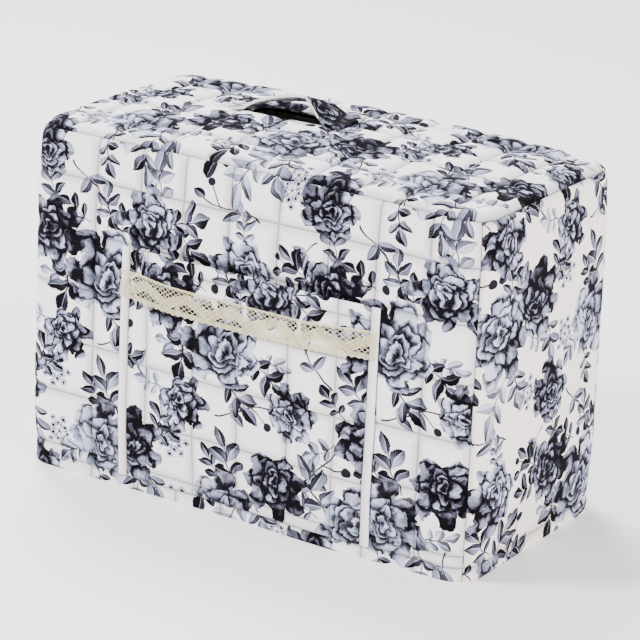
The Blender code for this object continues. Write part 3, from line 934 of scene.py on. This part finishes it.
def quilted_top():
    stitched = ((-TOP_HALF_X, *TOP_COLUMNS, TOP_HALF_X), (-TOP_HALF_Y, *TOP_ROWS, TOP_HALF_Y))
    across, over = ((low, EDGE_IN + low, *between, high - EDGE_IN, high)
                    for low, *between, high in stitched)

    def place(x, y):
        lift = QUILT_LIFT * pillow(nearest(x, stitched[0])) * pillow(nearest(y, stitched[1]))
        return top_point(x, y, lift * (1 - under_strap(x, y)))

    return grid_piece("top_cloth", spread(across), spread(over), place,
                      lambda x, y: (x + TOP_CUT_AT[0], y + TOP_CUT_AT[1]), stitched,
                      QUILTED_THICKNESS)


def edit_chosen(parts, kind, wanted):
    """Go into edit mode with only the wanted edges or faces selected."""
    bpy.ops.object.mode_set(mode="EDIT")
    bpy.ops.mesh.select_mode(type=kind)
    bpy.ops.mesh.select_all(action="DESELECT")
    bpy.ops.object.mode_set(mode="OBJECT")
    for part in parts:
        part.select = wanted(part)
    bpy.ops.object.mode_set(mode="EDIT")


def is_upright(edge):
    low, high = (edge.id_data.vertices[index].co.z for index in edge.vertices)
    return abs(high - low) > SLOT_CUT_HEIGHT / 2


top_panel = quilted_top()
dress(top_panel, QUILTED_PRINT, BACKING)
bpy.ops.mesh.primitive_cube_add(size=1, location=CENTRE_LINES + Vector((*SLOT_CENTRE, HEIGHT)))
cutter = bpy.context.object
cutter.scale = (*SLOT_SIZE, SLOT_CUT_HEIGHT)
bpy.ops.object.transform_apply(location=False, rotation=False, scale=True)
edit_chosen(cutter.data.edges, "EDGE", is_upright)
bpy.ops.mesh.bevel(offset=SLOT_CORNER, segments=6)
bpy.ops.object.mode_set(mode="OBJECT")
slot_cut = top_panel.modifiers.new("handle slot", "BOOLEAN")
slot_cut.operation = "DIFFERENCE"
slot_cut.solver = "EXACT"
slot_cut.object = cutter
soft_edges(top_panel)
bpy.data.objects.remove(cutter)
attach(top_panel, "root")
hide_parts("top_panel")
2 * TOP_HALF_X
2 * TOP_HALF_Y


# Pocket: a quilted patch of the same print, sewn down at its sides and foot. Its side edges are
# turned back to show white, and its mouth has a hem of its own and stands a little open.
POCKET_FOOT = HEM_DEPTH + SEAM_GAP
POCKET_THICKNESS = 0.0022
POCKET_GAPE = 0.0062
POCKET_LIFT = 0.0017
POCKET_SIDE_TURN = 0.0078
POCKET_MOUTH_HEM = 0.012
POCKET_COLUMNS = (-0.0925, -0.0435, 0.001, 0.052, 0.097)
POCKET_ROWS = (0.0215, 0.066, 0.117, 0.169)
POCKET_MOUTH_CROWN = 0.0020
TURN_RIDGE, TURN_STEP = 0.0009, 0.0015
GAPE_FROM, GAPE_LEVEL, GAPE_SLOPE = 0.05, 0.03, 2.2
POCKET_CUT_AT = (0.21, 0.35)
POCKET_PITCH = 0.0032


def pocket_standoff(s, t):
    """How far the pocket stands off the front, more towards the middle of its open mouth."""
    middle = (POCKET_LEFT + POCKET_RIGHT) / 2
    half = (POCKET_RIGHT - POCKET_LEFT) / 2 - POCKET_SIDE_TURN
    across = ease((1 - abs(s - middle) / half) * GAPE_SLOPE)
    up = ease((t - GAPE_FROM) / (POCKET_MOUTH - GAPE_FROM - GAPE_LEVEL))
    return SEAM_GAP + POCKET_GAPE * across * up


def white_turning(x, y):
    """True on the cloth that is turned back at the pocket's sides."""
    s = x - POCKET_CUT_AT[0]
    return min(s - POCKET_LEFT, POCKET_RIGHT - s) < POCKET_SIDE_TURN


def patch_pocket():
    left_turn = POCKET_LEFT + POCKET_SIDE_TURN
    right_turn = POCKET_RIGHT - POCKET_SIDE_TURN
    hem_line = POCKET_MOUTH - POCKET_MOUTH_HEM
    stitched = ((left_turn, *POCKET_COLUMNS, right_turn), (POCKET_FOOT, *POCKET_ROWS, hem_line))
    across = (POCKET_LEFT, *stitched[0], POCKET_RIGHT)
    up = (*stitched[1], POCKET_MOUTH)

    def place(s, t):
        lift = POCKET_LIFT * pillow(nearest(s, stitched[0])) * pillow(nearest(t, stitched[1]))
        on_side = min(s - POCKET_LEFT, POCKET_RIGHT - s)
        if on_side < POCKET_SIDE_TURN:
            lift = TURN_RIDGE * clamp((POCKET_SIDE_TURN - on_side) / TURN_STEP)
        elif t > hem_line:
            lift = TURN_RIDGE * clamp((t - hem_line) / TURN_STEP)
        gape = pocket_standoff(s, t)
        t += POCKET_MOUTH_CROWN * (gape - SEAM_GAP) / POCKET_GAPE
        return wall_point(FRONT, s, t, gape + lift)

    return grid_piece("pocket_cloth", spread(across, POCKET_PITCH), spread(up, POCKET_PITCH),
                      place, lambda s, t: (s + POCKET_CUT_AT[0], t + POCKET_CUT_AT[1]), stitched,
                      POCKET_THICKNESS, side_of_sheet=1, plain=white_turning)


pocket = patch_pocket()
dress(pocket, QUILTED_PRINT, BACKING)
soft_edges(pocket)
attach(pocket, "root")
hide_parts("pocket")


# Lace trim: cream cotton lace of twisted threads, with a zigzag of close work, open meshes
# between its points and a scalloped foot. It lies flat across the pocket, under the hem of its
# mouth, and is sewn down along both edges.
LACE_TOP = 0.1985
LACE_WIDTH = 0.0245
LACE_SAG = 0.003
THREAD = 0.00062
LACE_STANDOFF = POCKET_THICKNESS + POCKET_LIFT + THREAD / 2
LACE_INSET = 0.0002
LACE_LEFT, LACE_RIGHT = POCKET_LEFT + LACE_INSET, POCKET_RIGHT - LACE_INSET
SCALLOP_WIDTH, SCALLOP_DEPTH = 0.0062, 0.0014
OPEN_MESH, CLOSE_MESH = 0.0046, 0.0018
CLOSE_WORK_LIFT = 0.0005
ZIGZAG_REPEAT, ZIGZAG_START = 0.044, 0.6
ZIGZAG_HIGH, ZIGZAG_DROP, ZIGZAG_HALF_WIDTH = 0.0075, 0.0090, 0.0040
HEADING, FOOTING = 0.0012, 0.0200
NET_SIDE = 0.31
NET_LEAN = (0.625, 0.45)
SHORTEST_THREAD = 0.0002


def lace_place(s, t, lift=0.0):
    """The point at s along the band and t down it from its upper edge."""
    part = (s - LACE_LEFT) / (LACE_RIGHT - LACE_LEFT)
    up = LACE_TOP - LACE_SAG * 4 * part * (1 - part) - t
    return wall_point(FRONT, s, up, pocket_standoff(s, up) + LACE_STANDOFF + lift) + CENTRE_LINES


def lace_foot(s):
    return LACE_WIDTH - SCALLOP_DEPTH * abs(math.sin(math.pi * s / SCALLOP_WIDTH))


def in_band(s, t):
    return LACE_LEFT < s < LACE_RIGHT and 0 < t < lace_foot(s)


def close_worked(s, t):
    """Where the band is worked close: a zigzag, a narrow heading and a deep footing."""
    zigzag = ZIGZAG_HIGH + ZIGZAG_DROP * abs(2 * ((s / ZIGZAG_REPEAT + ZIGZAG_START) % 1.0) - 1)
    on_zigzag = abs(t - zigzag) < ZIGZAG_HALF_WIDTH
    return in_band(s, t) and (on_zigzag or t > FOOTING or t < HEADING)


def lace_net(name, mesh_size, lift, wanted):
    """A net of slanting meshes laid on the pocket where wanted(s, t), turned into threads."""
    cells = math.ceil(NET_SIDE / mesh_size)
    bpy.ops.mesh.primitive_grid_add(x_subdivisions=cells, y_subdivisions=cells, size=NET_SIDE)
    net = bpy.context.object
    net.name = net.data.name = name
    middle = (LACE_LEFT + LACE_RIGHT) / 2
    for vertex in net.data.vertices:
        x, y, _ = vertex.co
        vertex.co = ((x - y) * NET_LEAN[0] + middle, 0, (x + y) * NET_LEAN[1] + LACE_WIDTH / 2)
    edit_chosen(net.data.polygons, "FACE",
                lambda face: not wanted(face.center.x, face.center.z))
    bpy.ops.mesh.delete(type="FACE")
    bpy.ops.object.mode_set(mode="OBJECT")
    for vertex in net.data.vertices:
        s = clamp(vertex.co.x, LACE_LEFT, LACE_RIGHT)
        vertex.co = lace_place(s, clamp(vertex.co.z, 0.0, lace_foot(s)), lift)
    bpy.ops.object.mode_set(mode="EDIT")
    bpy.ops.mesh.select_all(action="SELECT")
    bpy.ops.mesh.dissolve_degenerate(threshold=SHORTEST_THREAD)
    bpy.ops.mesh.normals_make_consistent(inside=False)
    bpy.ops.object.mode_set(mode="OBJECT")
    threads = net.modifiers.new("threads", "WIREFRAME")
    threads.thickness = THREAD
    threads.use_even_offset = False
    threads.use_boundary = True
    apply_all(net)
    return net


DEEP_CREAM, PALE_CREAM = (1.0, 0.77, 0.39, 1), (1.0, 0.94, 0.65, 1)
FUZZ, LACE_PATCHES = 1500, 120
STRANDS, STRAND_SLANT = 3300, 1.4


def cotton_thread():
    """Slanting twisted strands, one way or the other in patches, with some fuzz."""
    made = bpy.data.materials.new("cream lace cotton")
    made.use_nodes = True
    tree = made.node_tree
    shader = tree.nodes["Principled BSDF"]
    shader.inputs["Roughness"].default_value = 0.9
    shader.inputs["Specular IOR Level"].default_value = 0.15
    shader.inputs["Sheen Weight"].default_value = 0.2
    place = tree.nodes.new("ShaderNodeTexCoord")
    parts = tree.nodes.new("ShaderNodeSeparateXYZ")
    tree.links.new(place.outputs["Object"], parts.inputs[0])
    x, y, z = [Wire(tree, output) for output in parts.outputs]
    fuzz = noise(tree, FUZZ, x, y, z, 2.0)
    patches = noise(tree, LACE_PATCHES, x, y, z)
    rising, falling = (((x + z * slant) * STRANDS).sum("SINE")
                       for slant in (STRAND_SLANT, -STRAND_SLANT))
    strands = blend(tree, rising, falling, patches[1].rise(0.47, 0.53))
    ramp = tree.nodes.new("ShaderNodeValToRGB")
    for step, cream in zip(ramp.color_ramp.elements, (DEEP_CREAM, PALE_CREAM)):
        step.color = cream
    mottle = fuzz[1] * 0.9 + patches[0] * 0.5 + strands * 0.34 + 0.12
    tree.links.new(mottle.socket, ramp.inputs[0])
    tree.links.new(ramp.outputs[0], shader.inputs["Base Color"])
    bump = tree.nodes.new("ShaderNodeBump")
    bump.inputs["Distance"].default_value = 0.0002
    tree.links.new((strands * 0.8 + fuzz[0] * 3.0).socket, bump.inputs["Height"])
    tree.links.new(bump.outputs[0], shader.inputs["Normal"])
    return made


lace = lace_net("lace_cloth", OPEN_MESH, 0.0, in_band)
close_net = lace_net("lace_close", CLOSE_MESH, CLOSE_WORK_LIFT, close_worked)
close_net.select_set(True)
lace.select_set(True)
bpy.context.view_layer.objects.active = lace
bpy.ops.object.join()
dress(lace, cotton_thread())
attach(lace, "root")
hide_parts("lace_trim")


# Handle strap: a band of the printed cloth folded in at both edges, where its white side shows.
# It arches over the slot and is sewn flat to the top at both ends.
STRAP_THICKNESS = 0.0025
STRAP_STANDOFF = 0.0013
# Each row: the place along x, and how high the strap stands there at its front and back edge.
STRAP_STATIONS = (
    (-0.112, 0.0000, 0.0000), (-0.098, 0.0000, 0.0000), (-0.089, 0.0020, 0.0008),
    (-0.083, 0.0062, 0.0024), (-0.076, 0.0098, 0.0037), (-0.067, 0.0132, 0.0050),
    (-0.056, 0.0165, 0.0062), (-0.044, 0.0194, 0.0073), (-0.034, 0.0210, 0.0079),
    (-0.027, 0.0213, 0.0080), (-0.022, 0.0155, 0.0068), (-0.016, 0.0080, 0.0042),
    (-0.010, 0.0022, 0.0014), (-0.004, 0.0000, 0.0000), (0.008, 0.0000, 0.0000),
)
STRAP_BENDS = (STRAP_LEFT, -0.098, -0.052, -0.027, -0.004, STRAP_RIGHT)
STRAP_PITCH, STRAP_CROSS_PITCH = 0.0022, 0.0035
EDGE_STITCHES_IN = 0.003
SEWN_LEFT, SEWN_RIGHT = -0.101, -0.002
STRAP_CUT_AT = (0.072, 0.113)
FOLD_LEFT, FOLD_RIGHT = STRAP_LEFT + 0.008, -0.014


def handle_strap():
    along, near, far = np.array(STRAP_STATIONS).T
    columns = spread(STRAP_BENDS, STRAP_PITCH)
    strap_back = STRAP_FRONT + STRAP_WIDTH
    rows = spread((STRAP_FRONT, strap_back), STRAP_CROSS_PITCH)
    stitched = ((STRAP_LEFT + EDGE_STITCHES_IN, SEWN_LEFT, SEWN_RIGHT,
                 STRAP_RIGHT - EDGE_STITCHES_IN),
                (STRAP_FRONT + EDGE_STITCHES_IN, strap_back - EDGE_STITCHES_IN))

    def place(x, y):
        near_rise, far_rise = np.interp(x, along, near), np.interp(x, along, far)
        part = (y - STRAP_FRONT) / STRAP_WIDTH
        return top_point(x, y, STRAP_STANDOFF + near_rise + (far_rise - near_rise) * part)

    return grid_piece("strap_cloth", columns, rows, place,
                      lambda x, y: (y + STRAP_CUT_AT[0], x + STRAP_CUT_AT[1]), stitched,
                      STRAP_THICKNESS, side_of_sheet=1, backed=False)


strap = handle_strap()
dress(strap, PLAIN_PRINT, cloth_material("white fold", printed=False))
soft_edges(strap)
for face in strap.data.polygons:
    if not FOLD_LEFT < face.center.x < FOLD_RIGHT:
        face.material_index = 0
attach(strap, "root")
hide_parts("handle_strap")


# Floor, light and camera: a plain pale studio floor, three soft lights, and a camera at the
# photograph's angle.
FLOOR_SIZE = 12
FLOOR_PAPER = (0.93, 0.93, 0.93, 1)
MIDDLE = Vector((0, 0, 0.15))
bpy.ops.mesh.primitive_plane_add(size=FLOOR_SIZE, location=(0, 0, 0))
floor = bpy.context.object
floor.name = "floor"
paper = bpy.data.materials.new("white floor")
paper.use_nodes = True
paper.node_tree.nodes["Principled BSDF"].inputs["Base Color"].default_value = FLOOR_PAPER
paper.node_tree.nodes["Principled BSDF"].inputs["Roughness"].default_value = 0.9
floor.data.materials.append(paper)

for name, place, size, power, colour in (
        ("key light", (-2.3, -2.0, 2.2), 1.0, 215, (1.0, 0.985, 1.0)),
        ("top light", (-1.3, 1.1, 2.7), 1.2, 150, (1.0, 0.99, 1.0)),
        ("end light", (2.7, -0.9, 1.4), 1.4, 130, (1.0, 0.94, 0.90))):
    bpy.ops.object.light_add(type="AREA", location=place)
    light = bpy.context.object
    light.name = name
    light.data.shape = "DISK"
    light.data.size = size
    light.data.energy = power
    light.data.color = colour
    light.rotation_euler = (MIDDLE - Vector(place)).to_track_quat("-Z", "Y").to_euler()

AZIMUTH, ELEVATION, ROLL = (math.radians(angle) for angle in (32.279, 19.0412, 2.487))
TARGET = MIDDLE + CENTRE_LINES
DISTANCE = 2.6665
PHOTO_SIZE = 640
FOCAL_LENGTH = 3109.8
OPTICAL_CENTRE = (314.98, 318.30)
SENSOR_WIDTH = 36
back = Vector((math.sin(AZIMUTH) * math.cos(ELEVATION), -math.cos(AZIMUTH) * math.cos(ELEVATION),
               math.sin(ELEVATION)))
level = Vector((math.cos(AZIMUTH), math.sin(AZIMUTH), 0))
upright = back.cross(level)
right = math.cos(ROLL) * level + math.sin(ROLL) * upright
upward = math.cos(ROLL) * upright - math.sin(ROLL) * level
bpy.ops.object.camera_add(location=TARGET + back * DISTANCE)
camera = bpy.context.object
camera.rotation_mode = "QUATERNION"
turn = [[right[row], upward[row], back[row]] for row in range(3)]
camera.rotation_quaternion = Matrix(turn).to_quaternion()
camera.data.sensor_width = SENSOR_WIDTH
camera.data.lens = FOCAL_LENGTH / PHOTO_SIZE * SENSOR_WIDTH
camera.data.shift_x = (PHOTO_SIZE / 2 - OPTICAL_CENTRE[0]) / PHOTO_SIZE
camera.data.shift_y = (OPTICAL_CENTRE[1] - PHOTO_SIZE / 2) / PHOTO_SIZE
camera.data.clip_end = 50
bpy.context.scene.camera = camera

world = bpy.context.scene.world or bpy.data.worlds.new("world")
bpy.context.scene.world = world
world.use_nodes = True
background = world.node_tree.nodes["Background"]
background.inputs["Color"].default_value = (1, 1, 1, 1)
background.inputs["Strength"].default_value = 0.9
